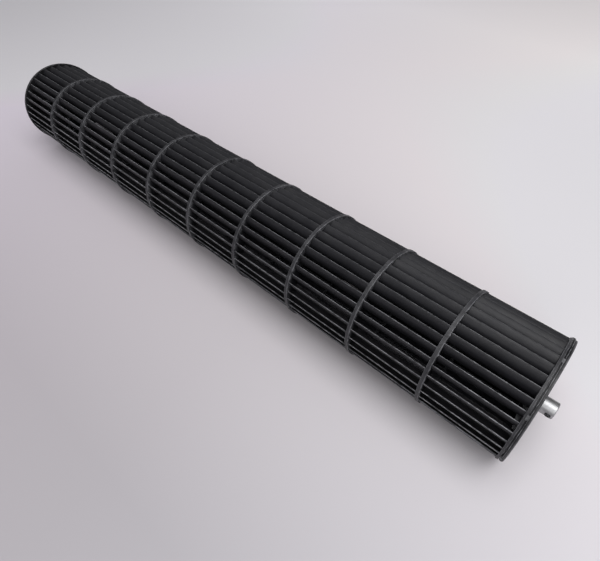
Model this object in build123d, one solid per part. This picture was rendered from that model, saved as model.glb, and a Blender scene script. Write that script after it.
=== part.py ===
from build123d import *
import math
import os

# Cross flow fan wheel of a split air conditioner's indoor unit: ten identical moulded blade sections
# welded end to end, a motor end disc with a metal shaft boss, and a bearing end disc with a stub shaft.
# Sizes are in mm and angles in degrees. X is the wheel's axis and points out of the motor end, Z is up,
# and the origin is the mouth of the shaft bore. Angles round the axis start at +Y and turn towards +Z.

# Whole wheel
wheel_diameter = 97.0
section_count = 10
blade_count = 35
first_blade_angle = 3.8  # outer edge of a blade of the section at the motor end
section_turn = -4.2  # each section against its neighbour on the motor side, so the blades don't line up

# Blade section: one ring with its blades in one moulding
ring_width = 12.0  # from the ring's bore to its rim
ring_thickness = 2.8
blade_span = 60.7  # free length of the blades between two rings
seat_depth = 0.6  # rebate in a ring's face that takes the free ends of the next section's blades
seat_lip = 0.5  # wall left outside the rebate
seat_clearance = 0.2  # between the outer edges of the blades and the lip
blade_inset = 0.6  # from the ring's bore to the inner edges of the blades
root_embed = 1.2  # length of each blade that is one with its ring

# Blade: a thin forward-curved arc, thickest halfway, drafted towards its free end
blade_inner_angle = 90.0  # between the blade and the wheel's tangent, at the inner edge
blade_outer_angle = 26.0  # the same at the outer edge
blade_thickness = 1.5
blade_edge_thickness = 0.9
blade_draft = 0.12

# Motor end disc
motor_rim_thickness = 2.2
groove_width = 0.4  # parting groove between the disc's rim and the first ring
lug_count = 7  # lugs that cross the groove
lug_width = 3.0
first_lug_angle = 38.0
spigot_length = 2.5  # collar that centres the disc in the ring's bore
spigot_wall = 1.5
spigot_clearance = 0.2
web_thickness = 2.0
dish_depth = 0.8  # shallow annular recess in a disc's outer face
dish_inner_radius = 14.0
dish_outer_radius = 33.0
hub_radius = 11.0
hub_depth = 10.0  # thickness of the disc at its hub, measured from the outer face
rib_count = 7
rib_thickness = 1.6
rib_hub_height = 6.0  # of a rib above the web, at the hub
rim_chamfer = 0.3

# Shaft boss and its set screw
boss_diameter = 12.7
boss_projection = 11.3
boss_chamfer = 0.5
bore_diameter = 6.0
flat_angle = 195.4  # where the milled flat faces
flat_distance = 5.2  # from the axis
screw_diameter = 4.0
screw_length = 3.0
screw_from_end = 3.3
screw_gap = 0.05  # the screw is backed out by this much from the bore
socket_across_flats = 2.0
socket_depth = 1.6
collar_across_flats = 17.0  # hexagonal collar that keeps the boss from turning in its hub
collar_length = 3.0
collar_from_face = 4.0

# Bearing end disc and its stub shaft
bearing_rim_thickness = 3.4
bearing_rim_chamfer = 0.9
shoulder_across_flats = 12.0  # hexagonal shoulder of the shaft, flush with the hub, that the bearing meets
shoulder_length = 3.0
bearing_hub_projection = 4.0
bearing_hub_depth = 10.0  # from the disc's outer face into the wheel
journal_diameter = 6.0
journal_length = 20.0
journal_chamfer = 0.6
anchor_groove_width = 2.0  # round the shaft inside the hub, filled by the moulding
anchor_groove_depth = 0.5
anchor_groove_from_end = 3.0

# Derived sizes
wheel_radius = wheel_diameter / 2
ring_bore_radius = wheel_radius - ring_width
section_pitch = ring_thickness + blade_span
seat_outer_radius = wheel_radius - seat_lip
blade_corner_radius = seat_outer_radius - seat_clearance
blade_inner_radius = ring_bore_radius + blade_inset
disc_face_x = -boss_projection
first_ring_x = disc_face_x - motor_rim_thickness
bearing_disc_x = first_ring_x - section_count * section_pitch
bearing_face_x = bearing_disc_x - bearing_rim_thickness


def polar(radius, angle):
    """Returns the point at a radius and an angle in degrees, in a section across the axis."""
    return Vector(radius * math.cos(math.radians(angle)), radius * math.sin(math.radians(angle)))


def disc_of(radius, start, length):
    """Returns a cylinder on the axis that runs from x = start towards the bearing end."""
    return extrude(Plane.YZ.offset(start) * Circle(radius), -length)


def tube(outer, inner, start, length):
    """Returns a hollow cylinder on the axis that runs from x = start towards the bearing end."""
    return extrude(Plane.YZ.offset(start) * (Circle(outer) - Circle(inner)), -length)


def turned(points):
    """Returns the solid turned from a closed outline of (x, radius) points."""
    outline = Polyline(*points, close=True)
    return revolve(make_face(outline), Axis.X)


def hexagon(across_flats, start, length):
    """Returns a hexagonal prism on the axis that runs from x = start towards the bearing end."""
    outline = RegularPolygon(across_flats / 2, 6, major_radius=False)
    return extrude(Plane.YZ.offset(start) * outline, -length)


def blade_profile():
    """Returns the face of a blade's section at its root, its outer edge at angle 0, pointing clockwise."""
    half_edge = blade_edge_thickness / 2
    lean = math.radians(blade_outer_angle)
    rise = math.radians(blade_inner_angle)
    reach = math.sqrt(blade_corner_radius**2 - (half_edge * math.sin(lean)) ** 2)
    outer_radius = reach - half_edge * math.cos(lean)
    turn = outer_radius * math.cos(lean) - blade_inner_radius * math.cos(rise)
    curve_radius = (outer_radius**2 - blade_inner_radius**2) / (2 * turn)
    centre = Vector(blade_inner_radius, 0) - Vector(math.cos(rise), math.sin(rise)) * curve_radius

    def seen_from_centre(radius):
        side = centre.length**2 + curve_radius**2 - radius**2
        return math.degrees(math.acos(side / (2 * centre.length * curve_radius)))

    sweep = seen_from_centre(outer_radius) - seen_from_centre(blade_inner_radius)
    start = math.degrees(math.atan2(-centre.Y, blade_inner_radius - centre.X))

    def across(share, offset):
        return centre + polar(curve_radius + offset, start - share * sweep)

    half = blade_thickness / 2
    convex = ThreePointArc(across(0, half_edge), across(0.5, half), across(1, half_edge))
    concave = ThreePointArc(across(1, -half_edge), across(0.5, -half), across(0, -half_edge))
    outer_edge = Line(convex @ 1, concave @ 0)
    inner_edge = Line(concave @ 1, convex @ 0)
    tip = across(1, 0)
    face = make_face(convex + outer_edge + concave + inner_edge)
    return Rot(0, 0, -math.degrees(math.atan2(tip.Y, tip.X))) * face


def blade(ring_x):
    """Returns one blade of a section whose ring starts at ring_x, with its outer edge at angle 0."""
    root_x = ring_x - ring_thickness + root_embed
    length = root_embed + blade_span + seat_depth
    return extrude(Plane.YZ.offset(root_x) * blade_profile(), -length, taper=blade_draft)


def seat(face_x, inner_radius):
    """Returns the rebate that takes the blade ends, to be cut from a face at face_x."""
    return tube(seat_outer_radius, inner_radius, face_x, seat_depth)


def blade_section(ring_x):
    """Returns a section: a ring with a seat in its motor side and blades on its other side."""
    ring = tube(wheel_radius, ring_bore_radius, ring_x, ring_thickness) - disc_of(
        seat_outer_radius, ring_x, seat_depth
    )
    one = blade(ring_x)
    return ring + [Rot(i * 360 / blade_count, 0, 0) * one for i in range(blade_count)]


def ribs(web_x, outer_radius):
    """Returns the radial ribs on the inner face of an end disc, tapering from the hub to the rim."""
    outline = Polyline(
        (web_x + web_thickness / 2, 0),
        (web_x + web_thickness / 2, outer_radius),
        (web_x - spigot_length / 2, outer_radius),
        (web_x - rib_hub_height, hub_radius),
        (web_x - rib_hub_height, 0),
        close=True,
    )
    rib = extrude(make_face(outline), rib_thickness / 2, both=True)
    first = first_lug_angle - 90
    return [Rot(first + i * 360 / rib_count, 0, 0) * rib for i in range(rib_count)]


def boss_blank():
    """Returns the shaft boss before it is bored: a round bar with a hexagonal collar in the hub."""
    bar = disc_of(boss_diameter / 2, 0, boss_projection + hub_depth)
    bar = chamfer(bar.edges().group_by(Axis.X)[-1], boss_chamfer)
    return bar + hexagon(collar_across_flats, disc_face_x - collar_from_face, collar_length)


def screw_rod(radius, inner, outer):
    """Returns a rod across the boss, on the set screw's line, between two distances from the axis."""
    across = Plane(origin=(-screw_from_end, 0, 0), x_dir=(1, 0, 0), z_dir=(0, 1, 0))
    rod = extrude(across.offset(inner) * Circle(radius), outer - inner)
    return Rot(flat_angle, 0, 0) * rod


def shaft_boss():
    """Returns the metal boss with its bore, its milled flat and the tapped hole through the flat."""
    milled = Pos(-boss_projection / 2, flat_distance + boss_diameter / 2, 0) * Box(
        boss_projection, boss_diameter, boss_diameter
    )
    boss = boss_blank() - Rot(flat_angle, 0, 0) * milled
    boss = boss - disc_of(bore_diameter / 2, 0, boss_projection + hub_depth)
    return boss - screw_rod(screw_diameter / 2, 0, boss_diameter)


def set_screw():
    """Returns the set screw, backed out of the bore, with a hexagonal socket in its outer end."""
    inner = bore_diameter / 2 + screw_gap
    outer = inner + screw_length
    screw = screw_rod(screw_diameter / 2, inner, outer)
    across = Plane(origin=(-screw_from_end, outer, 0), x_dir=(1, 0, 0), z_dir=(0, 1, 0))
    socket = extrude(across * RegularPolygon(socket_across_flats / 2, 6, major_radius=False), -socket_depth)
    return screw - Rot(flat_angle, 0, 0) * socket


def motor_end_disc():
    """Returns the disc that closes the motor end and holds the shaft boss."""
    inner_x = first_ring_x
    web_x = disc_face_x - dish_depth - web_thickness
    spigot_radius = ring_bore_radius - spigot_clearance
    bowl_radius = spigot_radius - spigot_wall
    disc = turned(
        [
            (disc_face_x, 0),
            (disc_face_x, dish_inner_radius),
            (disc_face_x - dish_depth, dish_inner_radius + dish_depth),
            (disc_face_x - dish_depth, dish_outer_radius - dish_depth),
            (disc_face_x, dish_outer_radius),
            (disc_face_x, wheel_radius - rim_chamfer),
            (disc_face_x - rim_chamfer, wheel_radius),
            (inner_x + groove_width, wheel_radius),
            (inner_x + groove_width, blade_corner_radius),
            (inner_x - seat_depth, blade_corner_radius),
            (inner_x - seat_depth, spigot_radius),
            (inner_x - spigot_length, spigot_radius),
            (inner_x - spigot_length, bowl_radius),
            (web_x, bowl_radius),
            (web_x, hub_radius),
            (disc_face_x - hub_depth, hub_radius),
            (disc_face_x - hub_depth, 0),
        ]
    )
    lug_ring = tube(wheel_radius, blade_corner_radius - rim_chamfer, inner_x + groove_width, groove_width)
    lug = Pos(inner_x, wheel_radius, 0) * Box(2 * groove_width, wheel_radius, lug_width)
    lugs = [
        lug_ring & (Rot(first_lug_angle + i * 360 / lug_count, 0, 0) * lug) for i in range(lug_count)
    ]
    disc = disc + lugs + ribs(web_x, bowl_radius + spigot_wall / 2)
    return disc - boss_blank()


def end_shaft():
    """Returns the steel stub shaft, with a groove and a hexagonal shoulder that hold it in its disc."""
    radius = journal_diameter / 2
    hub_end_x = bearing_face_x - bearing_hub_projection
    start_x = bearing_face_x + bearing_hub_depth
    shaft = disc_of(radius, start_x, start_x - hub_end_x + journal_length)
    shaft = chamfer(shaft.edges().group_by(Axis.X)[0], journal_chamfer)
    groove = tube(radius, radius - anchor_groove_depth, start_x - anchor_groove_from_end, anchor_groove_width)
    return shaft - groove + hexagon(shoulder_across_flats, hub_end_x + shoulder_length, shoulder_length)


def bearing_end_disc():
    """Returns the disc that closes the bearing end, with a seat for the last blades and the hub."""
    web_x = bearing_disc_x - bearing_rim_thickness + web_thickness
    bowl_radius = ring_bore_radius
    rim = disc_of(wheel_radius, bearing_disc_x, bearing_rim_thickness)
    rim = chamfer(rim.edges().group_by(Axis.X)[0], bearing_rim_chamfer)
    disc = rim - disc_of(bowl_radius, bearing_disc_x, bearing_disc_x - web_x)
    hub_start = bearing_face_x + bearing_hub_depth
    hub = disc_of(hub_radius, hub_start, bearing_hub_depth + bearing_hub_projection)
    hub = chamfer(hub.edges().group_by(Axis.X)[0], bearing_hub_projection / 2)
    disc = disc + hub
    for rib in ribs_inside(web_x, bowl_radius):
        disc = disc + rib
    return disc - seat(bearing_disc_x, bowl_radius) - end_shaft()


def ribs_inside(web_x, bowl_radius):
    """Returns the ribs of the bearing end disc, a mirror image of those of the motor end disc."""
    flip = Plane.YZ.offset(web_x)
    return [mirror(rib, about=flip) for rib in ribs(web_x, bowl_radius + seat_lip / 2)]


def make_parts():
    """Returns every piece of the wheel by name."""
    made = {
        "motor_end_disc": motor_end_disc(),
        "shaft_boss": shaft_boss(),
        "set_screw": set_screw(),
        "bearing_end_disc": bearing_end_disc(),
        "end_shaft": end_shaft(),
    }
    section = blade_section(0)
    for i in range(section_count):
        place = Pos(first_ring_x - i * section_pitch, 0, 0) * Rot(first_blade_angle + i * section_turn, 0, 0)
        made[f"blade_section_{i + 1:02d}"] = place * section
    return made


os.makedirs("parts", exist_ok=True)
for name, solid in make_parts().items():
    export_step(solid, f"parts/{name}.step")
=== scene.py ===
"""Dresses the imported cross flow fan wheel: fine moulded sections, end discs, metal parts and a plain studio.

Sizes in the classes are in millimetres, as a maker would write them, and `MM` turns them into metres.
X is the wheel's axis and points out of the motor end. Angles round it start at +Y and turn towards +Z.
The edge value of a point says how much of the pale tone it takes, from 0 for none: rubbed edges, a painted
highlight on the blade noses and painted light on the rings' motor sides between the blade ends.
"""

import logging
import math
from collections.abc import Callable
from dataclasses import dataclass, field
from enum import Enum

import bmesh
import bpy
from mathutils import Matrix, Vector


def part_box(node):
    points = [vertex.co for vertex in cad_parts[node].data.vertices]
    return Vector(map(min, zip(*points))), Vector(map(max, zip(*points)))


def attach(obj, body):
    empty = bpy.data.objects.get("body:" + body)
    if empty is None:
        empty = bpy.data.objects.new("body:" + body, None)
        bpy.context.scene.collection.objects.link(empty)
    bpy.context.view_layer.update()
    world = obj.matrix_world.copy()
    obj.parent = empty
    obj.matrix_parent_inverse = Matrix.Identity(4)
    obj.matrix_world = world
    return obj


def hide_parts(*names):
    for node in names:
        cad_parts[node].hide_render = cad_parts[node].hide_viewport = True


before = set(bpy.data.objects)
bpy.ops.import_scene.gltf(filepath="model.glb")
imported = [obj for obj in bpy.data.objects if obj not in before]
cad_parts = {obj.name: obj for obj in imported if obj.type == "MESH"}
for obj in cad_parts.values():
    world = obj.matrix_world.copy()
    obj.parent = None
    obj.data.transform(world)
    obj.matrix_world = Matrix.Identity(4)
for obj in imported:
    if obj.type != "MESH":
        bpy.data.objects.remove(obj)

LOG = logging.getLogger("fan_wheel")
MM = 0.001
BODY = "root"
SECTION_COUNT = 10
WAVES = ((23, 0.4), (41, 0.3), (67, 0.2), (103, 0.1))  # how often round the axis, and how high, each goes

Pair = tuple[float, float]
Triple = tuple[float, float, float]
Curve = tuple[Triple, ...]
Outline = list[Triple]
Wobble = Callable[[float, float, float], Pair]
Socket = bpy.types.NodeSocket
Node = bpy.types.Node
Material = bpy.types.Material
NodeTree = bpy.types.NodeTree
Object = bpy.types.Object


class Slot(Enum):
    """Names for the material slots of the moulded and turned pieces."""

    PLASTIC = "fan_plastic"
    BOSS = "boss_metal"


# ---------------------------------------------------------------- node trees


@dataclass(frozen=True)
class Noise:
    """A noise texture: its scale in cells per unit, its number of finer layers and their share."""

    scale: float
    detail: float
    rough: float


class Tree:
    """Adds nodes to one node tree, from left to right."""

    spacing = 180

    def __init__(self, tree: NodeTree) -> None:
        """Keeps the tree that the nodes go into."""
        self.tree = tree
        self.column = 0

    def add(self, kind: str, **settings: object) -> Node:
        """Adds a node.

        Args:
            kind: The node's type, without its ShaderNode prefix.
            settings: Properties to set on the node.

        Returns:
            The new node.
        """
        prefix = "" if kind.startswith("NodeGroup") else "ShaderNode"
        node = self.tree.nodes.new(prefix + kind)
        node.location = (self.column, 0)
        self.column += self.spacing
        for name, value in settings.items():
            setattr(node, name, value)
        return node

    def link(self, output: Socket, target: Socket) -> None:
        """Joins an output to an input."""
        self.tree.links.new(output, target)

    def feed(self, target: Socket, value: object) -> None:
        """Fills an input.

        Args:
            target: The input.
            value: A socket to link to it, or a constant.
        """
        if isinstance(value, Socket):
            self.link(value, target)
        else:
            target.default_value = value

    def place(self) -> Socket:
        """Adds the place on the object, in metres, and returns it."""
        return self.add("TexCoord").outputs["Object"]

    def noise(self, vector: Socket, noise: Noise) -> Socket:
        """Adds a noise texture.

        Args:
            vector: The place that it reads.
            noise: Its settings.

        Returns:
            The noise, from 0 to 1.
        """
        node = self.add("TexNoise")
        self.link(vector, node.inputs["Vector"])
        for name, number in (("Scale", noise.scale), ("Detail", noise.detail), ("Roughness", noise.rough)):
            node.inputs[name].default_value = number
        return node.outputs["Fac"]

    def remap(self, value: Socket, span: Pair, to: Pair = (0.0, 1.0)) -> Socket:
        """Adds a clamped map range.

        Args:
            value: The value to map.
            span: The values that map to the two ends.
            to: The two ends.

        Returns:
            The mapped value.
        """
        node = self.add("MapRange")
        self.link(value, node.inputs["Value"])
        for name, number in zip(("From Min", "From Max", "To Min", "To Max"), (*span, *to)):
            node.inputs[name].default_value = number
        return node.outputs["Result"]

    def operate(self, kind: str, operation: str, values: tuple[object, ...]) -> Socket:
        """Adds a node that works on its inputs in turn.

        Args:
            kind: The node's type, without its ShaderNode prefix.
            operation: What it does with them.
            values: A socket or a constant for each input.

        Returns:
            Its first output.
        """
        node = self.add(kind, operation=operation)
        for target, value in zip(node.inputs, values):
            self.feed(target, value)
        return node.outputs[0]

    def maths(self, operation: str, *values: object) -> Socket:
        """Adds a maths node on sockets or numbers and returns its result."""
        return self.operate("Math", operation, values)

    def vector(self, operation: str, *values: object) -> Socket:
        """Adds a vector maths node on sockets or triples and returns its vector."""
        return self.operate("VectorMath", operation, values)

    def mix(self, share: Socket, first: object, second: object) -> Socket:
        """Mixes two colours, each a socket or a triple.

        Args:
            share: How much of the second colour shows.
            first: The first colour.
            second: The second colour.

        Returns:
            The mixed colour.
        """
        node = self.add("Mix", data_type="RGBA")
        self.link(share, node.inputs["Factor"])
        for name, value in (("A", first), ("B", second)):
            target = [one for one in node.inputs if one.name == name and one.type == "RGBA"][0]
            self.feed(target, value if isinstance(value, Socket) else (*value, 1.0))
        return [one for one in node.outputs if one.type == "RGBA"][0]


def new_group(name: str, inputs: dict[str, float], outputs: tuple[str, ...]) -> tuple[Tree, Node, Node]:
    """Starts a shader node group.

    Args:
        name: The group's name.
        inputs: Input names and their default values.
        outputs: Output names, each a value.

    Returns:
        The tree, the group's input node and its output node.
    """
    group = bpy.data.node_groups.new(name, "ShaderNodeTree")
    for label, value in inputs.items():
        group.interface.new_socket(label, in_out="INPUT", socket_type="NodeSocketFloat").default_value = value
    for label in outputs:
        group.interface.new_socket(label, in_out="OUTPUT", socket_type="NodeSocketFloat")
    tree = Tree(group)
    return tree, tree.add("NodeGroupInput"), tree.add("NodeGroupOutput")


@dataclass
class Effects:
    """The shader node groups that the finishes share."""

    grain_noise: Noise = Noise(2600.0, 3.0, 0.6)
    mottle_noise: Noise = Noise(55.0, 4.0, 0.6)
    mottle_span: Pair = (0.3, 0.7)
    wear_and_light_noise: Noise = Noise(210.0, 5.0, 0.65)
    wear_and_light_span: Pair = (0.36, 0.6)
    wear_and_light_least: float = 0.15
    dust_noise: Noise = Noise(90.0, 6.0, 0.7)
    dust_span: Pair = (0.42, 0.75)
    dust_facing: Pair = (0.2, 1.0)
    grain: NodeTree = field(init=False)
    wear_and_light: NodeTree = field(init=False)
    dust: NodeTree = field(init=False)

    def __post_init__(self) -> None:
        """Builds each group once."""
        self.grain = self.build_grain()
        self.wear_and_light = self.build_wear_and_light()
        self.dust = self.build_dust()

    def build_grain(self) -> NodeTree:
        """Builds the fine grain of a glass-filled moulding, with a slow mottle of its tone.

        Returns:
            The group, which puts out a Height and a Mottle.
        """
        tree, inside, outside = new_group("moulded_grain", {"Scale": 1.0}, ("Height", "Mottle"))
        scaled = tree.add("VectorMath", operation="SCALE")
        tree.link(tree.place(), scaled.inputs[0])
        tree.link(inside.outputs["Scale"], scaled.inputs["Scale"])
        tree.link(tree.noise(scaled.outputs[0], self.grain_noise), outside.inputs["Height"])
        slow = tree.noise(scaled.outputs[0], self.mottle_noise)
        tree.link(tree.remap(slow, self.mottle_span), outside.inputs["Mottle"])
        return tree.tree

    def build_wear_and_light(self) -> NodeTree:
        """Builds the pale tone of rubbed edges, which is also a painted highlight on the blade noses and
        painted light on the rings' motor sides, from the edge values that the meshes carry.

        Returns:
            The group, which puts out a Mask.
        """
        tree, inside, outside = new_group("edge_wear_and_light", {"Amount": 0.5}, ("Mask",))
        edge = tree.add("Attribute", attribute_name="edge").outputs["Fac"]
        broken = tree.remap(tree.noise(tree.place(), self.wear_and_light_noise), self.wear_and_light_span, (self.wear_and_light_least, 1.0))
        mask = tree.maths("MULTIPLY", tree.maths("MULTIPLY", edge, broken), inside.outputs["Amount"])
        tree.link(mask, outside.inputs["Mask"])
        return tree.tree

    def build_dust(self) -> NodeTree:
        """Builds a thin settling of dust on the faces that look up.

        Returns:
            The group, which puts out a Mask.
        """
        tree, inside, outside = new_group("settled_dust", {"Amount": 0.3}, ("Mask",))
        up = tree.add("SeparateXYZ")
        tree.link(tree.add("NewGeometry").outputs["Normal"], up.inputs[0])
        facing = tree.remap(up.outputs["Z"], self.dust_facing)
        patchy = tree.remap(tree.noise(tree.place(), self.dust_noise), self.dust_span)
        mask = tree.maths("MULTIPLY", tree.maths("MULTIPLY", facing, patchy), inside.outputs["Amount"])
        tree.link(mask, outside.inputs["Mask"])
        return tree.tree


def place_group(tree: Tree, group: NodeTree, **values: float) -> Node:
    """Places a group in a material.

    Args:
        tree: The material's tree.
        group: The group.
        values: The group's inputs, in lower case, and their values.

    Returns:
        The group's node.
    """
    node = tree.add("Group")
    node.node_tree = group
    for name, value in values.items():
        node.inputs[name.title()].default_value = value
    return node


def new_material(name: str) -> tuple[Material, Tree, Node]:
    """Starts a material.

    Args:
        name: The material's name.

    Returns:
        The material, its tree and its Principled BSDF.
    """
    material = bpy.data.materials.new(name)
    material.use_nodes = True
    tree = Tree(material.node_tree)
    return material, tree, material.node_tree.nodes["Principled BSDF"]


def vary_roughness(tree: Tree, shader: Node, mottle: Socket, roughness: float, spread: Pair) -> None:
    """Lets the shader's roughness follow a mottle, with the spread added to it where the mottle is 0 and 1."""
    ends = (roughness + spread[0], roughness + spread[1])
    tree.link(tree.remap(mottle, (0.0, 1.0), ends), shader.inputs["Roughness"])


def add_relief(tree: Tree, shader: Node, height: Socket, strength: float, depth: float) -> None:
    """Gives a surface a fine relief.

    Args:
        tree: The material's tree.
        shader: Its Principled BSDF.
        height: The height, from 0 to 1.
        strength: How strongly it shows.
        depth: What a height of 1 stands for, in millimetres.
    """
    bump = tree.add("Bump")
    bump.inputs["Strength"].default_value = strength
    bump.inputs["Distance"].default_value = depth * MM
    tree.link(height, bump.inputs["Height"])
    tree.link(bump.outputs["Normal"], shader.inputs["Normal"])


@dataclass(frozen=True)
class MouldedPlastic:
    """Dark glass-filled plastic with a fine grain, a slow mottle, rubbed edges with painted highlights and
    painted light in their pale tone, and a little dust.
    """

    name: str
    tone: Triple = (0.0124, 0.0124, 0.0152)
    pale_tone: Triple = (0.0178, 0.0178, 0.0212)
    # pale tone of rubbed edges, of the painted highlights on the blade noses and of the painted light on the
    # rings' motor sides
    rub_and_light_tone: Triple = (0.45, 0.45, 0.48)
    dust_tone: Triple = (0.2, 0.19, 0.18)
    roughness: float = 0.5
    roughness_spread: Pair = (-0.04, 0.07)
    specular: float = 0.45
    grain_strength: float = 0.35
    grain_depth: float = 0.04
    wear_and_light: float = 0.7
    dust: float = 0.06

    def build(self, effects: Effects) -> Material:
        """Builds the finish.

        Args:
            effects: The shared node groups.

        Returns:
            The material.
        """
        material, tree, shader = new_material(self.name)
        grain = place_group(tree, effects.grain)
        wear_and_light = place_group(tree, effects.wear_and_light, amount=self.wear_and_light)
        dust = place_group(tree, effects.dust, amount=self.dust)
        colour = tree.mix(grain.outputs["Mottle"], self.tone, self.pale_tone)
        colour = tree.mix(wear_and_light.outputs["Mask"], colour, self.rub_and_light_tone)
        colour = tree.mix(dust.outputs["Mask"], colour, self.dust_tone)
        tree.link(colour, shader.inputs["Base Color"])
        vary_roughness(tree, shader, grain.outputs["Mottle"], self.roughness, self.roughness_spread)
        shader.inputs["Specular IOR Level"].default_value = self.specular
        add_relief(tree, shader, grain.outputs["Height"], self.grain_strength, self.grain_depth)
        return material


@dataclass(frozen=True)
class TurnedMetal:
    """Metal turned round the wheel's axis, with fine tool rings."""

    name: str
    tone: Triple
    roughness: float
    roughness_spread: Pair = (-0.05, 0.08)
    mottle_scale: float = 0.5
    ring_noise: Noise = Noise(1.0, 2.0, 0.55)
    ring_pitch: float = 0.22
    cells_across: float = 40.0
    ring_span: Pair = (0.35, 0.65)
    ring_shade: float = 0.82
    ring_strength: float = 0.25
    ring_depth: float = 0.03

    def build(self, effects: Effects) -> Material:
        """Builds the finish.

        Args:
            effects: The shared node groups.

        Returns:
            The material.
        """
        material, tree, shader = new_material(self.name)
        stretched = tree.add("Mapping")
        across = self.cells_across
        stretched.inputs["Scale"].default_value = (1.0 / (self.ring_pitch * MM), across, across)
        tree.link(tree.place(), stretched.inputs["Vector"])
        rings = tree.noise(stretched.outputs["Vector"], self.ring_noise)
        grain = place_group(tree, effects.grain, scale=self.mottle_scale)
        shaded = tuple(part * self.ring_shade for part in self.tone)
        tree.link(tree.mix(tree.remap(rings, self.ring_span), self.tone, shaded), shader.inputs["Base Color"])
        vary_roughness(tree, shader, grain.outputs["Mottle"], self.roughness, self.roughness_spread)
        shader.inputs["Metallic"].default_value = 1.0
        add_relief(tree, shader, rings, self.ring_strength, self.ring_depth)
        return material


# ---------------------------------------------------------------- meshes


def add_object(name: str, data: bpy.types.ID) -> Object:
    """Adds an object to the scene.

    Args:
        name: Its name.
        data: Its mesh, light or camera.

    Returns:
        The object.
    """
    added = bpy.data.objects.new(name, data)
    bpy.context.scene.collection.objects.link(added)
    return added


def unevenness(angle: float, seed: float) -> float:
    """Returns a smooth, uneven value from -1 to 1 for an angle round the axis in radians."""
    turns = (count * angle + seed * (1.7 + 0.37 * k) for k, (count, _size) in enumerate(WAVES))
    return sum(size * math.sin(turn) for turn, (_count, size) in zip(turns, WAVES))


def ring_point(x: float, radius: float, angle: float) -> Vector:
    """Returns the point at a place along the axis, a radius and an angle in radians."""
    return Vector((x, radius * math.cos(angle), radius * math.sin(angle)))


class MeshBuilder:
    """Gathers vertices, faces and an edge value for each vertex into one mesh."""

    rib_value = 0.3
    block_slope = 0.25
    block_values = (0.1, 0.4, 0.6)
    block_shares = (-1, -0.33, 0.33, 1)

    def __init__(self) -> None:
        """Starts empty."""
        self.points: list[Vector] = []
        self.faces: list[tuple[int, ...]] = []
        self.edge_values: list[float] = []

    def add_points(self, points: list[Vector], values: list[float]) -> list[int]:
        """Adds points.

        Args:
            points: The points, in millimetres.
            values: The edge value of each.

        Returns:
            The numbers of the new vertices.
        """
        first = len(self.points)
        self.points += [point * MM for point in points]
        self.edge_values += values
        return list(range(first, len(self.points)))

    def skin(self, loops: list[list[int]], closed: bool = False) -> None:
        """Joins loops one after the other with bands of faces.

        Args:
            loops: The vertex numbers of each loop, all of the same length.
            closed: Whether the last loop joins the first. If not, both get a face.
        """
        for one, two in zip(loops, loops[1:] + loops[: int(closed)]):
            ahead = (one[1:] + one[:1], two[1:] + two[:1])
            self.faces += zip(one, *ahead, two)
        if not closed:
            self.faces += [tuple(loops[0]), tuple(reversed(loops[-1]))]

    def lathe(self, outline: Outline, steps: int, wobble: Wobble | None = None) -> None:
        """Turns a closed outline round the axis.

        Args:
            outline: (x, radius, edge value) of each point.
            steps: The number of divisions round the axis.
            wobble: Gives the shift of a point along the axis and outwards, from its angle, x and radius.
        """
        loops = []
        for x, radius, value in outline:
            points = []
            for i in range(steps):
                angle = math.tau * i / steps
                along, out = wobble(angle, x, radius) if wobble else (0.0, 0.0)
                points.append(ring_point(x + along, radius + out, angle))
            loops.append(self.add_points(points, [value] * steps))
        self.skin(loops, closed=True)

    def arc_block(self, span: Pair, radii: Pair, centre: float, width: float) -> None:
        """Adds a small block that follows the wheel's rim, with its outer edges sloped.

        Args:
            span: Where it starts and ends along the axis.
            radii: Its inner and outer radius.
            centre: The angle of its middle, in degrees.
            width: Its width round the rim.
        """
        middle = (span[0] + span[1]) / 2
        levels = ((radii[0], 0.0), (radii[1] - self.block_slope, 0.0), (radii[1], self.block_slope))
        loops = []
        for (radius, shrink), value in zip(levels, self.block_values):
            half_x = abs(span[1] - span[0]) / 2 - shrink
            half_angle = (width / 2 - shrink) / radius
            corners = []
            for side, shares in ((1, self.block_shares), (-1, self.block_shares[::-1])):
                for share in shares:
                    angle = math.radians(centre) + share * half_angle
                    corners.append(ring_point(middle + side * half_x, radius, angle))
            loops.append(self.add_points(corners, [value] * len(corners)))
        self.skin(loops)

    def rib(self, corners: list[Pair], angle: float, thickness: float) -> None:
        """Adds a flat rib that stands along the axis.

        Args:
            corners: (x, radius) of each corner of its side.
            angle: Where it stands round the axis, in degrees.
            thickness: Its thickness.
        """
        turn = Matrix.Rotation(math.radians(angle), 3, "X")
        sides = []
        for side in (-0.5, 0.5):
            points = [turn @ Vector((x, radius, side * thickness)) for x, radius in corners]
            sides.append(self.add_points(points, [self.rib_value] * len(points)))
        self.skin(sides)

    def finish(self, name: str, material: Material, sharp: float = 40.0) -> Object:
        """Makes the object, with outward normals and its edge values as an attribute.

        Args:
            name: The piece's name.
            material: Its finish.
            sharp: The angle in degrees past which an edge stays sharp.

        Returns:
            The new object, in the scene.
        """
        mesh = bpy.data.meshes.new(name)
        mesh.from_pydata(self.points, [], self.faces)
        mesh.attributes.new("edge", "FLOAT", "POINT").data.foreach_set("value", self.edge_values)
        work = bmesh.new()
        work.from_mesh(mesh)
        bmesh.ops.recalc_face_normals(work, faces=work.faces)
        work.to_mesh(mesh)
        work.free()
        mesh.shade_smooth()
        mesh.set_sharp_from_angle(angle=math.radians(sharp))
        mesh.materials.append(material)
        return add_object(name, mesh)


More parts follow.
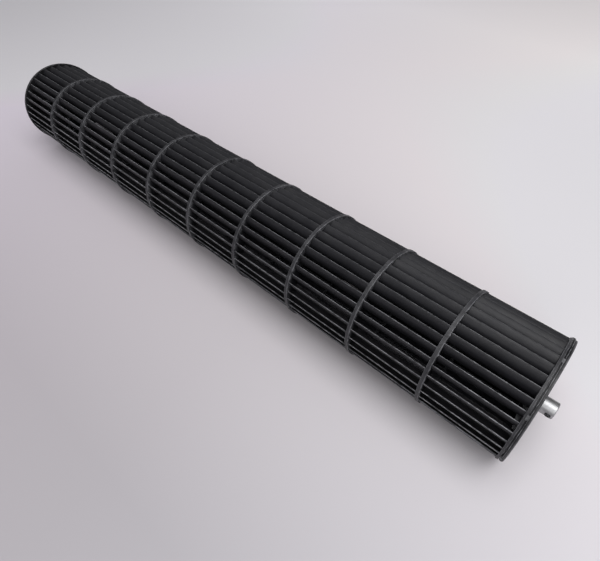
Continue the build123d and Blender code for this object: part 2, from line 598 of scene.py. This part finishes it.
@dataclass(frozen=True)
class Rounding:
    """How the corners of a turned outline are rounded."""

    steps: int = 3
    most_of_side: float = 0.45
    flat_run: float = 0.02
    middle_value: float = 1.0
    end_value: float = 0.6

    def apply(self, corners: Outline) -> Outline:
        """Rounds the corners of a closed outline.

        Args:
            corners: (x, radius, rounding) of each corner.

        Returns:
            (x, radius, edge value) of each point, where the edge value is 0 off the roundings.
        """
        out = []
        places = [Vector(corner[:2]) for corner in corners]
        for i, (here, corner) in enumerate(zip(places, corners)):
            if corner[2] <= 0.0:
                out.append((*here, 0.0))
                continue
            before = places[i - 1] - here
            after = places[(i + 1) % len(places)] - here
            reach = min(corner[2], self.most_of_side * before.length, self.most_of_side * after.length)
            start = here + before.normalized() * reach
            end = here + after.normalized() * reach
            out.append((*(start + before.normalized() * self.flat_run), 0.0))
            for k in range(self.steps + 1):
                t = k / self.steps
                point = start * (1 - t) ** 2 + here * 2 * t * (1 - t) + end * t**2
                out.append((*point, self.middle_value if 0 < k < self.steps else self.end_value))
            out.append((*(end + after.normalized() * self.flat_run), 0.0))
        return out


def place_piece(piece: Object, node: str) -> Object:
    """Puts a piece on the wheel in the place of a CAD node.

    Args:
        piece: The piece.
        node: The CAD node that it stands for.

    Returns:
        The piece.
    """
    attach(piece, BODY)
    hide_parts(node)
    return piece


@dataclass
class Blade:
    """One forward-curved blade, as an outline across the wheel's axis with its outer edge at angle 0."""

    inner_radius: float = 37.1
    outer_radius: float = 47.8
    outer_angle: float = 26.0
    thickness: float = 1.5
    edge_thickness: float = 0.9
    side_steps: int = 10
    # painted highlight: the rounded outer edge takes the pale tone where the lamps' highlight falls on it, on
    # top of being rubbed
    outer_edge_values: tuple[float, ...] = (0.1, 0.4, 0.9, 0.8, 0.2)
    outer_side_values: tuple[float, ...] = (0.0, 0.02)
    hollow_side_value: float = 0.3
    inner_edge_value: float = 0.08

    def outline(self, grow: float) -> tuple[list[Pair], list[float]]:
        """Works out the blade's outline.

        Args:
            grow: How far every side stands out from the plain blade.

        Returns:
            The (y, z) points and their edge values.
        """
        half_edge = self.edge_thickness / 2
        lean = math.radians(self.outer_angle)
        reach = math.sqrt(self.outer_radius**2 - (half_edge * math.sin(lean)) ** 2)
        end_radius = reach - half_edge * math.cos(lean)
        curve = (end_radius**2 - self.inner_radius**2) / (2 * end_radius * math.cos(lean))
        centre = Vector((self.inner_radius, -curve))
        nose_steps = len(self.outer_edge_values)

        def seen(radius: float) -> float:
            """Returns the angle at the curve's centre for a point at a radius."""
            side = centre.length**2 + curve**2 - radius**2
            return math.acos(side / (2 * centre.length * curve))

        sweep = seen(end_radius) - seen(self.inner_radius)
        inset = half_edge / (curve * sweep)

        def heading(share: float) -> Vector:
            """Returns the direction out of the curve's centre at a share of the blade's length."""
            angle = math.pi / 2 - share * sweep
            return Vector((math.cos(angle), math.sin(angle)))

        def half(share: float) -> float:
            """Returns half of the thickness at a share of the blade's length."""
            return half_edge + (self.thickness / 2 - half_edge) * (1 - (2 * share - 1) ** 2) + grow

        def nose(share: float, forward: float) -> list[Vector]:
            """Rounds one end of the blade.

            Args:
                share: Where the rounding's centre lies, as a share of the blade's length.
                forward: 1 for the outer end and -1 for the inner end.

            Returns:
                The points round it.
            """
            radial = heading(share)
            along = Vector((radial.y, -radial.x)) * forward
            turns = [math.pi * (k + 0.5) / nose_steps for k in range(nose_steps)]
            size = half_edge + grow
            base = centre + radial * curve
            return [base + (radial * math.cos(t) * forward + along * math.sin(t)) * size for t in turns]

        shares = [inset + (1 - 2 * inset) * k / self.side_steps for k in range(self.side_steps + 1)]
        points = [centre + heading(s) * (curve + half(s)) for s in shares]
        plain = self.side_steps - len(self.outer_side_values)
        values = [self.inner_edge_value / 2] + [0.0] * plain + list(self.outer_side_values)
        points += nose(1 - inset, 1.0)
        values += self.outer_edge_values
        points += [centre + heading(s) * (curve - half(s)) for s in reversed(shares)]
        values += [self.hollow_side_value] + [0.0] * (self.side_steps - 1) + [self.inner_edge_value / 2]
        points += nose(inset, -1.0)
        values += [self.inner_edge_value] * nose_steps
        tip = centre + heading(1.0) * curve
        turn = Matrix.Rotation(-math.atan2(tip.y, tip.x), 2)
        return [tuple(turn @ p) for p in points], values


@dataclass
class BladeSection:
    """A one-piece moulding: a ring, and blades that reach to the next ring."""

    number: int
    first_blade_angle: float = 3.8
    turn: float = -4.2
    blade_count: int = 35
    blade: Blade = field(default_factory=Blade)
    blade_end: float = 0.6
    draft: float = 0.12
    root_fillet: float = 0.35
    fillet_profile: tuple[Pair, ...] = ((-0.3, 1.0), (0.0, 1.0), (0.12, 0.55), (0.3, 0.2), (0.6, 0.0))
    # painted highlight: the blade edges of each section grow paler towards the far end, where their noses
    # catch grazing highlights
    rub_and_highlight: tuple[float, ...] = (1.3, 1.0, 0.95, 1.0, 1.1, 1.3, 1.5, 1.7, 1.9, 2.1)
    ring_radius: float = 48.5
    ring_thickness: float = 2.8
    ring_width: float = 12.0
    ring_rounding: float = 0.3
    ring_steps: int = 14
    rim_depth: float = 0.5
    rim_value: float = 0.11
    rim_edge_share: float = 0.6
    rim_wander: float = 0.1
    rim_seed: float = 4.3
    back_value: float = 0.05
    groove: Pair = (1.0, 1.4)
    groove_rim_share: float = 0.7
    groove_wander: float = 0.22
    groove_wander_span: Pair = (1.0, 0.4)
    groove_seed: float = 2.6
    # painted light: the pale band of the motor side between the blade ends stands in for the light that falls
    # on it in the gaps
    weld_light_band: Triple = (5.0, 2.6, 1.0)
    weld_painted_light_value: float = 0.5
    weld_light_rise: float = 0.7
    weld_depth: float = 2.0
    weld_height: float = 0.6
    weld_lumps: Pair = (0.55, 0.45)
    nubs: tuple[tuple[int, float], ...] = ((2, 138.0), (4, 136.5))
    nub_size: float = 0.9

    @property
    def node(self) -> str:
        """The CAD node that the piece stands for."""
        return f"blade_section_{self.number:02d}"

    @property
    def start_angle(self) -> float:
        """The angle of the outer edge of the section's first blade, in degrees."""
        return self.first_blade_angle + (self.number - 1) * self.turn

    def ring_outline(self, top: float) -> Outline:
        """Works out the ring's outline. Its motor side is painted pale between the blade ends, where the
        blades before it are welded on: painted light on the face that the gaps show.

        Args:
            top: Where its motor side stands along the axis.

        Returns:
            (x, radius, edge value) of each point.
        """
        radius, low = self.ring_radius, top - self.ring_thickness
        bore = radius - self.ring_width
        rim = self.rim_value
        turned = [(top, radius), (low, radius)]
        if self.number == 1:
            groove, depth = self.groove
            turned[:1] = [(top, radius - depth), (top - groove, radius - depth), (top - groove, radius)]
            rim *= self.groove_rim_share
        rims = [(*corner, self.ring_rounding) for corner in turned]
        corners = [(top, bore, 0.0), *rims, (low, bore, 0.0)]
        start, rise, full = self.weld_light_band
        # painted light on the motor side, growing towards the rim
        outline = [(top, bore, 0.0), (top, radius - start, 0.0)]
        outline.append((top, radius - rise, self.weld_painted_light_value * self.weld_light_rise))
        if self.number > 1:
            outline.append((top, radius - full, self.weld_painted_light_value))
        for x, reach, value in Rounding().apply(corners)[1:-1]:
            on_rim = reach > radius - self.rim_depth
            outline.append((x, reach, max(value * self.rim_edge_share, rim) if on_rim else 0.0))
        return outline + [(low, radius - full, self.back_value), (low, bore, 0.0)]

    def build_ring(self, mesh: MeshBuilder, top: float) -> None:
        """Adds the ring, a little uneven round its rim.

        Args:
            mesh: The mesh that it goes into.
            top: Where its motor side stands along the axis.
        """
        radius, low = self.ring_radius, top - self.ring_thickness
        pitch = math.tau / self.blade_count
        before = math.radians(self.start_angle - self.turn)
        nubs = [math.radians(angle) for number, angle in self.nubs if number == self.number]

        def wobble(angle: float, x: float, reach: float) -> Pair:
            """Raises the welded rim of the motor side between the blade ends, and its nubs.

            Args:
                angle: The point's angle, in radians.
                x: Its place along the axis.
                reach: Its radius.

            Returns:
                Its shift along the axis and outwards.
            """
            if reach < radius - self.weld_depth:
                return 0.0, 0.0
            if self.number == 1:
                from_low, from_top = self.groove_wander_span
                wanders = low + from_low < x < top - from_top
                return self.groove_wander * unevenness(angle, self.groove_seed) if wanders else 0.0, 0.0
            if x < top - self.ring_rounding:
                return self.rim_wander * unevenness(angle, self.number + self.rim_seed), 0.0
            share = ((angle - before) / pitch) % 1.0
            between = max(0.0, math.sin(math.pi * share)) ** 0.5
            lump = self.weld_lumps[0] + self.weld_lumps[1] * unevenness(angle, self.number)
            nub = sum(math.exp(-(((angle - place) * radius / self.nub_size) ** 2)) for place in nubs)
            return self.weld_height * between * lump + nub, 0.0

        mesh.lathe(self.ring_outline(top), self.blade_count * self.ring_steps, wobble)

    def build_blades(self, mesh: MeshBuilder, root: float, end: float) -> None:
        """Adds the blades, with a small fillet where each meets the ring.

        Args:
            mesh: The mesh that they go into.
            root: Where they leave the ring along the axis.
            end: Where they end.
        """
        stations = [(along, self.root_fillet * share) for along, share in self.fillet_profile]
        stations.append((root - end, 0.0))
        slope = math.tan(math.radians(self.draft))
        outlines = [(along, *self.blade.outline(grow - max(along, 0.0) * slope)) for along, grow in stations]
        rub_and_highlight = self.rub_and_highlight[self.number - 1]
        for i in range(self.blade_count):
            turn = Matrix.Rotation(math.radians(self.start_angle + i * 360 / self.blade_count), 2)
            loops = []
            for along, outline, values in outlines:
                points = [Vector((root - along, *(turn @ Vector(point)))) for point in outline]
                loops.append(mesh.add_points(points, [value * rub_and_highlight for value in values]))
            mesh.skin(loops)

    def build(self, finish: Material) -> Object:
        """Builds the section.

        Args:
            finish: Its finish.

        Returns:
            The piece, standing for its CAD node.
        """
        low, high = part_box(self.node)
        top, bottom = high[0] / MM, low[0] / MM
        mesh = MeshBuilder()
        self.build_ring(mesh, top)
        self.build_blades(mesh, top - self.ring_thickness, bottom + self.blade_end)
        return place_piece(mesh.finish(f"section_{self.number:02d}", finish), self.node)


@dataclass
class EndDisc:
    """What both end discs have: a turned body with a web and a hub, and ribs on its inner side."""

    web_thickness: float = 2.0
    hub_radius: float = 11.0
    hub_depth: float = 10.0
    rib_count: int = 7
    rib_thickness: float = 1.6
    rib_height: float = 6.0
    rib_end_height: float = 1.25
    rib_sink: float = 1.0
    rib_foot_radius: float = 10.0
    first_rib_angle: float = -52.0
    corner_rounding: float = 0.3
    hub_rounding: float = 0.4
    turned_steps: int = 200
    edge_share: float = 0.35

    def turn_body(self, mesh: MeshBuilder, corners: Outline) -> None:
        """Adds the turned body, from the (x, radius, rounding) of each corner of its outline."""
        outline = Rounding().apply(corners)
        mesh.lathe([(x, radius, value * self.edge_share) for x, radius, value in outline], self.turned_steps)

    def build_ribs(self, mesh: MeshBuilder, web: float, reach: float, inwards: int) -> None:
        """Adds the ribs, which rise from the rim's side to the hub.

        Args:
            mesh: The mesh that they go into.
            web: Where the web's inner side stands along the axis.
            reach: The radius at which they end.
            inwards: 1 or -1, the way along the axis into the wheel.
        """
        foot, height = web - inwards * self.rib_sink, web + inwards * self.rib_height
        side = [
            (foot, self.rib_foot_radius),
            (foot, reach),
            (web + inwards * self.rib_end_height, reach),
            (height, self.hub_radius),
            (height, self.rib_foot_radius),
        ]
        for i in range(self.rib_count):
            mesh.rib(side, self.first_rib_angle + i * 360 / self.rib_count, self.rib_thickness)


@dataclass
class MotorEndDisc(EndDisc):
    """The disc that closes the motor end: a welded rim with lugs, a dished web, a hub and ribs."""

    radius: float = 48.3
    rim_thickness: float = 2.15
    rim_rounding: float = 1.0
    rim_back_rounding: float = 0.25
    tongue_radius: float = 46.6
    tongue_depth: float = 0.05
    spigot_radius: float = 36.3
    spigot_wall: float = 1.5
    spigot_depth: float = 4.7
    dish: Triple = (14.0, 33.0, 0.8)
    boss_radius: float = 6.35
    rib_overlap: float = 0.5
    lug_count: int = 7
    lug_width: float = 3.6
    lug_span: Pair = (-1.7, 0.6)
    lug_sink: float = 0.3
    lug_reach: float = 49.3
    lug_half_box: float = 48.45
    first_lug_angle: float = 38.0
    flash_radius: float = 48.42
    flash_foot: float = 48.0
    flash_half_width: float = 0.2
    flash_shoulder: float = 0.1
    flash_values: tuple[float, ...] = (0.1, 0.5, 0.9, 0.7, 0.1)
    flash_steps: int = 360
    flash_wander: Pair = (0.08, 0.12)
    flash_seeds: Pair = (3.1, 8.4)
    flash_sink: float = 0.06

    def build(self, finish: Material) -> Object:
        """Builds the disc.

        Args:
            finish: Its finish.

        Returns:
            The piece, standing for its CAD node.
        """
        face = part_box("motor_end_disc")[1][0] / MM
        inner_dish, outer_dish, depth = self.dish
        back = face - self.rim_thickness
        web = face - depth - self.web_thickness
        bowl = self.spigot_radius - self.spigot_wall
        soft = self.corner_rounding
        corners = [
            (face, self.boss_radius, 0.0),
            (face, inner_dish, soft),
            (face - depth, inner_dish + depth, soft),
            (face - depth, outer_dish - depth, soft),
            (face, outer_dish, soft),
            (face, self.radius, self.rim_rounding),
            (back, self.radius, self.rim_back_rounding),
            (back, self.tongue_radius, 0.0),
            (back - self.tongue_depth, self.tongue_radius, 0.0),
            (back - self.tongue_depth, self.spigot_radius, 0.0),
            (face - self.spigot_depth, self.spigot_radius, soft),
            (face - self.spigot_depth, bowl, soft),
            (web, bowl, 0.0),
            (web, self.hub_radius, soft),
            (face - self.hub_depth, self.hub_radius, self.hub_rounding),
            (face - self.hub_depth, self.boss_radius, 0.0),
        ]
        mesh = MeshBuilder()
        self.turn_body(mesh, corners)
        self.build_ribs(mesh, web, bowl + self.rib_overlap, -1)
        self.build_lugs(mesh, back)
        self.build_flash(mesh, back)
        return place_piece(mesh.finish("motor_disc", finish), "motor_end_disc")

    def build_lugs(self, mesh: MeshBuilder, back: float) -> None:
        """Adds the lugs across the parting groove, cut back where they would leave the wheel's box.

        Args:
            mesh: The mesh that they go into.
            back: Where the rim's inner side stands along the axis.
        """
        span = (back + self.lug_span[0], back + self.lug_span[1])
        for i in range(self.lug_count):
            angle = self.first_lug_angle + i * 360 / self.lug_count
            turn = math.radians(angle)
            reach = min(self.lug_reach, self.lug_half_box / max(abs(math.cos(turn)), abs(math.sin(turn))))
            mesh.arc_block(span, (self.tongue_radius - self.lug_sink, reach), angle, self.lug_width)

    def build_flash(self, mesh: MeshBuilder, back: float) -> None:
        """Adds the thin uneven bead that the weld pressed out of the groove.

        Args:
            mesh: The mesh that it goes into.
            back: Where the rim's inner side stands along the axis.
        """
        half, foot = self.flash_half_width, self.flash_foot
        middle = back + half
        shoulder = self.flash_radius - self.flash_shoulder
        along = (middle - half, middle - half, middle, middle + half, middle + half)
        radii = (foot, shoulder, self.flash_radius, shoulder, foot)
        wander = tuple(zip(self.flash_wander, self.flash_seeds))

        def wobble(angle: float, _x: float, reach: float) -> Pair:
            """Lets the bead wander a little and stand out more in places."""
            sway, swell = (size * unevenness(angle, seed) for size, seed in wander)
            return (sway, swell - self.flash_sink) if reach > foot else (0.0, 0.0)

        mesh.lathe(list(zip(along, radii, self.flash_values)), self.flash_steps, wobble)


@dataclass
class BearingEndDisc(EndDisc):
    """The disc that closes the bearing end: a rounded rim, a flat web, a hub and ribs."""

    radius: float = 48.5
    rim_thickness: float = 3.4
    rim_rounding: float = 1.3
    bowl_radius: float = 36.5
    rib_overlap: float = 0.25
    hub_projection: float = 4.0
    hub_foot_rounding: float = 0.5
    hub_setback: float = 0.02
    shoulder_radius: float = 6.0
    shoulder_length: float = 3.0
    shaft_radius: float = 3.0

    def build(self, finish: Material) -> Object:
        """Builds the disc, whose hub stands back a hair from the shaft's shoulder.

        Args:
            finish: Its finish.

        Returns:
            The piece, standing for its CAD node.
        """
        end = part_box("bearing_end_disc")[0][0] / MM + self.hub_setback
        face = end + self.hub_projection - self.hub_setback
        top = face + self.rim_thickness
        web = face + self.web_thickness
        hub_top = face + self.hub_depth
        soft = self.corner_rounding
        corners = [
            (top, self.radius, soft),
            (face, self.radius, self.rim_rounding),
            (face, self.hub_radius, self.hub_foot_rounding),
            (face - self.hub_projection / 2, self.hub_radius, soft),
            (end, self.hub_radius - self.hub_projection / 2, soft),
            (end, self.shoulder_radius, 0.0),
            (end + self.shoulder_length, self.shoulder_radius, 0.0),
            (end + self.shoulder_length, self.shaft_radius, 0.0),
            (hub_top, self.shaft_radius, 0.0),
            (hub_top, self.hub_radius, self.hub_rounding),
            (web, self.hub_radius, soft),
            (web, self.bowl_radius, soft),
            (top, self.bowl_radius, soft),
        ]
        mesh = MeshBuilder()
        self.turn_body(mesh, corners)
        self.build_ribs(mesh, web, self.bowl_radius + self.rib_overlap, 1)
        return place_piece(mesh.finish("bearing_disc", finish), "bearing_end_disc")


@dataclass
class ShaftBoss:
    """The turned metal boss, with its bore, its milled flat and the tapped hole through the flat."""

    radius: float = 6.35
    length: float = 20.0
    chamfer: float = 0.5
    bore_radius: float = 3.0
    bore_chamfer: float = 0.3
    flat_angle: float = 195.4
    flat_distance: float = 5.2
    flat_length: float = 11.3
    flat_step: float = 0.01
    hole_radius: float = 2.0
    hole_from_end: float = 3.3
    hole_start: float = 0.5
    turned_steps: int = 144
    hole_steps: int = 48
    sharp_angle: float = 25.0

    def build(self, finish: Material) -> Object:
        """Builds the boss.

        Args:
            finish: Its finish.

        Returns:
            The piece, standing for its CAD node.
        """
        outline = [
            (0.0, self.bore_radius + self.bore_chamfer),
            (0.0, self.radius - self.chamfer),
            (-self.chamfer, self.radius),
            (-self.flat_length, self.radius),
            (-self.flat_length - self.flat_step, self.radius),
            (-self.length, self.radius),
            (-self.length, self.bore_radius),
            (-self.bore_chamfer, self.bore_radius),
        ]
        facing = math.radians(self.flat_angle)
        out = ring_point(0.0, 1.0, facing)
        steps = self.turned_steps
        mesh = MeshBuilder()
        loops = []
        for x, radius in outline:
            points = [ring_point(x, radius, facing + math.tau * i / steps) for i in range(steps)]
            if x >= -self.flat_length:
                points = [point - out * max(0.0, point.dot(out) - self.flat_distance) for point in points]
            loops.append(mesh.add_points(points, [0.0] * len(points)))
        mesh.skin(loops, closed=True)
        piece = mesh.finish("boss", finish, self.sharp_angle)
        self.drill(piece, out)
        return place_piece(piece, "shaft_boss")

    def drill(self, piece: Object, out: Vector) -> None:
        """Drills the screw's hole through the flat into the bore.

        Args:
            piece: The boss.
            out: The direction that the flat faces.
        """
        cutter = bpy.data.meshes.new("drill")
        work = bmesh.new()
        size = self.hole_radius * MM
        bmesh.ops.create_cone(
            work, cap_ends=True, segments=self.hole_steps, radius1=size, radius2=size, depth=self.radius * MM
        )
        work.to_mesh(cutter)
        work.free()
        tool = add_object("drill", cutter)
        middle = self.bore_radius - self.hole_start + self.radius / 2
        place = Vector((-self.hole_from_end * MM, 0.0, 0.0)) + out * middle * MM
        tool.matrix_world = Matrix.Translation(place) @ out.to_track_quat("Z", "X").to_matrix().to_4x4()
        cut = piece.modifiers.new("drill", "BOOLEAN")
        cut.object = tool
        cut.operation = "DIFFERENCE"
        bpy.context.view_layer.update()
        solid = bpy.data.meshes.new_from_object(piece.evaluated_get(bpy.context.evaluated_depsgraph_get()))
        piece.modifiers.clear()
        piece.data = solid
        bpy.data.objects.remove(tool)


def dress(node: str, finish: Material) -> None:
    """Gives a CAD node a finish."""
    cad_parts[node].data.materials.clear()
    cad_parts[node].data.materials.append(finish)


# ---------------------------------------------------------------- studio


@dataclass(frozen=True)
class Lamp:
    """A square soft lamp: its place and side in metres, and its power in watts."""

    name: str
    place: Triple
    size: float
    power: float


@dataclass
class Studio:
    """A pale floor, soft lamps and the camera."""

    wheel_radius: float = 48.5
    floor_size: float = 12.0
    floor_gap: float = 0.0002
    floor_tone: Triple = (0.16, 0.155, 0.165)
    floor_roughness: float = 0.9
    floor_specular: float = 0.1
    curve_reach: tuple[Pair, Pair] = ((-1.1, 0.25), (-0.22, 0.75))
    # painted fall-off of light: the floor's colour as the camera sees it, brighter and darker over its length
    # and breadth
    seen_tone: Curve = (
        (0.813, 0.775, 0.808),
        (0.564, 0.582, 0.644),
        (0.863, 0.773, 0.753),
        (0.787, 0.757, 0.926),
        (0.455, 0.328, 0.308),
        (-0.756, -0.704, -0.767),
    )
    seen_tone_top: Triple = (0.86, 0.84, 0.87)
    # painted light: a glow on the floor that the camera, metal and glass see, though it is no lamp
    seen_glow: Curve = (
        (-0.031, -0.030, -0.032),
        (-0.162, -0.158, -0.166),
        (0.110, 0.107, 0.112),
        (-0.065, -0.064, -0.067),
        (0.126, 0.123, 0.129),
        (0.353, 0.344, 0.360),
    )
    seen_glow_top: Triple = (0.5, 0.5, 0.5)
    lamps: tuple[Lamp, ...] = (
        Lamp("overhead", (0.05, -0.1, 1.0), 0.8, 6.9),
        Lamp("side", (1.0, 0.0, 0.5), 0.8, 1.5),
        Lamp("front", (0.1, -1.1, 0.7), 0.8, 3.3),
    )
    lamp_aim: Triple = (-0.33, 0.0, 0.0)
    sky_colour: Triple = (0.97, 0.97, 1.0)
    sky_heights: Pair = (0.3, 1.0)
    sky_strengths: Pair = (0.07, 0.48)
    camera_place: Triple = (-27.0, -214.6, 290.8)
    camera_aim: Triple = (-0.4517, 0.5323, -0.7160)
    camera_roll: float = 0.87
    camera_lens: float = 27.741
    camera_sensor: float = 36.0
    camera_shift: Pair = (-0.03443, -0.03130)

    def spread(self, tree: Tree, curve: Curve, most: Triple) -> Socket:
        """Lays a colour over the floor, which here paints a fall-off of light.

        Args:
            tree: The floor's tree.
            curve: The weights of 1, x, y, x*x, x*y and y*y for each colour, with x and y in metres. Past the
                curve's reach the colour stays as it is at the edge.
            most: The greatest value of each colour.

        Returns:
            The colour.
        """
        place = tree.add("SeparateXYZ")
        tree.link(tree.place(), place.inputs[0])
        x, y = (
            tree.maths("MINIMUM", tree.maths("MAXIMUM", place.outputs[axis], low), high)
            for axis, (low, high) in zip("XY", self.curve_reach)
        )
        squares = (tree.maths("MULTIPLY", one, two) for one, two in ((x, x), (x, y), (y, y)))
        colour = curve[0]
        for term, weights in zip((x, y, *squares), curve[1:]):
            colour = tree.vector("MULTIPLY_ADD", term, weights, colour)
        return tree.vector("MINIMUM", tree.vector("MAXIMUM", colour, (0.0, 0.0, 0.0)), most)

    def build_floor(self) -> None:
        """Adds the floor that the wheel lies on.

        The camera, metal and glass see it pale, with a painted fall-off of light in its colour and glow over
        its length and breadth, and with the wheel's shadow. It lights the wheel as dark grey, as the shaded
        floor close to the wheel does.
        """
        height = -self.wheel_radius * MM - self.floor_gap
        bpy.ops.mesh.primitive_plane_add(size=self.floor_size, location=(0, 0, height))
        floor = bpy.context.object
        floor.name = "floor"
        material, tree, shader = new_material("studio_floor")
        path = tree.add("LightPath")
        shiny = tree.maths("MAXIMUM", path.outputs["Is Glossy Ray"], path.outputs["Is Transmission Ray"])
        seen = tree.maths("MAXIMUM", path.outputs["Is Camera Ray"], shiny)
        tone = self.spread(tree, self.seen_tone, self.seen_tone_top)
        tree.link(tree.mix(seen, self.floor_tone, tone), shader.inputs["Base Color"])
        tree.link(self.spread(tree, self.seen_glow, self.seen_glow_top), shader.inputs["Emission Color"])
        tree.link(seen, shader.inputs["Emission Strength"])
        shader.inputs["Roughness"].default_value = self.floor_roughness
        shader.inputs["Specular IOR Level"].default_value = self.floor_specular
        floor.data.materials.append(material)

    def add_lamp(self, lamp: Lamp) -> None:
        """Adds a lamp that looks at the middle of the wheel.

        Args:
            lamp: The lamp.
        """
        light = bpy.data.lights.new(lamp.name, "AREA")
        light.shape = "SQUARE"
        light.size = lamp.size
        light.energy = lamp.power
        piece = add_object(lamp.name, light)
        piece.location = lamp.place
        ahead = Vector(self.lamp_aim) - Vector(lamp.place)
        piece.rotation_euler = ahead.to_track_quat("-Z", "Y").to_euler()

    def build_sky(self) -> None:
        """Adds the sky, which is brighter overhead."""
        world = bpy.data.worlds.new("sky")
        world.use_nodes = True
        back = world.node_tree.nodes["Background"]
        tree = Tree(world.node_tree)
        height = tree.add("SeparateXYZ")
        tree.link(tree.add("TexCoord").outputs["Generated"], height.inputs[0])
        strength = tree.remap(height.outputs["Z"], self.sky_heights, self.sky_strengths)
        tree.link(strength, back.inputs["Strength"])
        back.inputs["Color"].default_value = (*self.sky_colour, 1.0)
        bpy.context.scene.world = world

    def build_camera(self) -> None:
        """Adds the camera, looking down along the wheel from above its motor end."""
        data = bpy.data.cameras.new("camera")
        data.sensor_width = self.camera_sensor
        data.lens = self.camera_lens
        data.shift_x, data.shift_y = self.camera_shift
        camera = add_object("camera", data)
        ahead = Vector(self.camera_aim).normalized()
        level = ahead.cross(Vector((0.0, 0.0, 1.0))).normalized()
        right = Matrix.Rotation(math.radians(-self.camera_roll), 3, ahead) @ level
        turn = Matrix((right, right.cross(ahead), -ahead)).transposed()
        camera.matrix_world = Matrix.Translation(Vector(self.camera_place) * MM) @ turn.to_4x4()
        bpy.context.scene.camera = camera

    def build(self) -> None:
        """Adds the floor, the lamps, the sky and the camera."""
        self.build_floor()
        for lamp in self.lamps:
            self.add_lamp(lamp)
        self.build_sky()
        self.build_camera()
        bpy.context.scene.view_settings.view_transform = "Standard"


BLADE_PLASTIC = MouldedPlastic("dark_moulding")
END_PLASTIC = MouldedPlastic("end_moulding", (0.0055, 0.0055, 0.0068), (0.0085, 0.0085, 0.0103))
BOSS_METAL = TurnedMetal("turned_aluminium", tone=(0.5, 0.5, 0.51), roughness=0.42)
SCREW_METAL = TurnedMetal("black_steel", tone=(0.08, 0.08, 0.085), roughness=0.4)
SHAFT_METAL = TurnedMetal("ground_steel", tone=(0.55, 0.55, 0.55), roughness=0.25)


def main() -> None:
    """Builds and dresses every piece, then the studio."""
    logging.basicConfig(level=logging.INFO, format="%(name)s: %(message)s")
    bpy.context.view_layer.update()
    effects = Effects()
    plastic, end_plastic = BLADE_PLASTIC.build(effects), END_PLASTIC.build(effects)
    boss_metal = BOSS_METAL.build(effects)
    builders = [(BladeSection(number), plastic) for number in range(1, SECTION_COUNT + 1)]
    builders += [(MotorEndDisc(), end_plastic), (BearingEndDisc(), end_plastic), (ShaftBoss(), boss_metal)]
    for builder, finish in builders:
        piece = builder.build(finish)
        LOG.info("%s has %d faces", piece.name, len(piece.data.polygons))
    dress("set_screw", SCREW_METAL.build(effects))
    dress("end_shaft", SHAFT_METAL.build(effects))
    Studio().build()


if __name__ == "__main__":
    main()
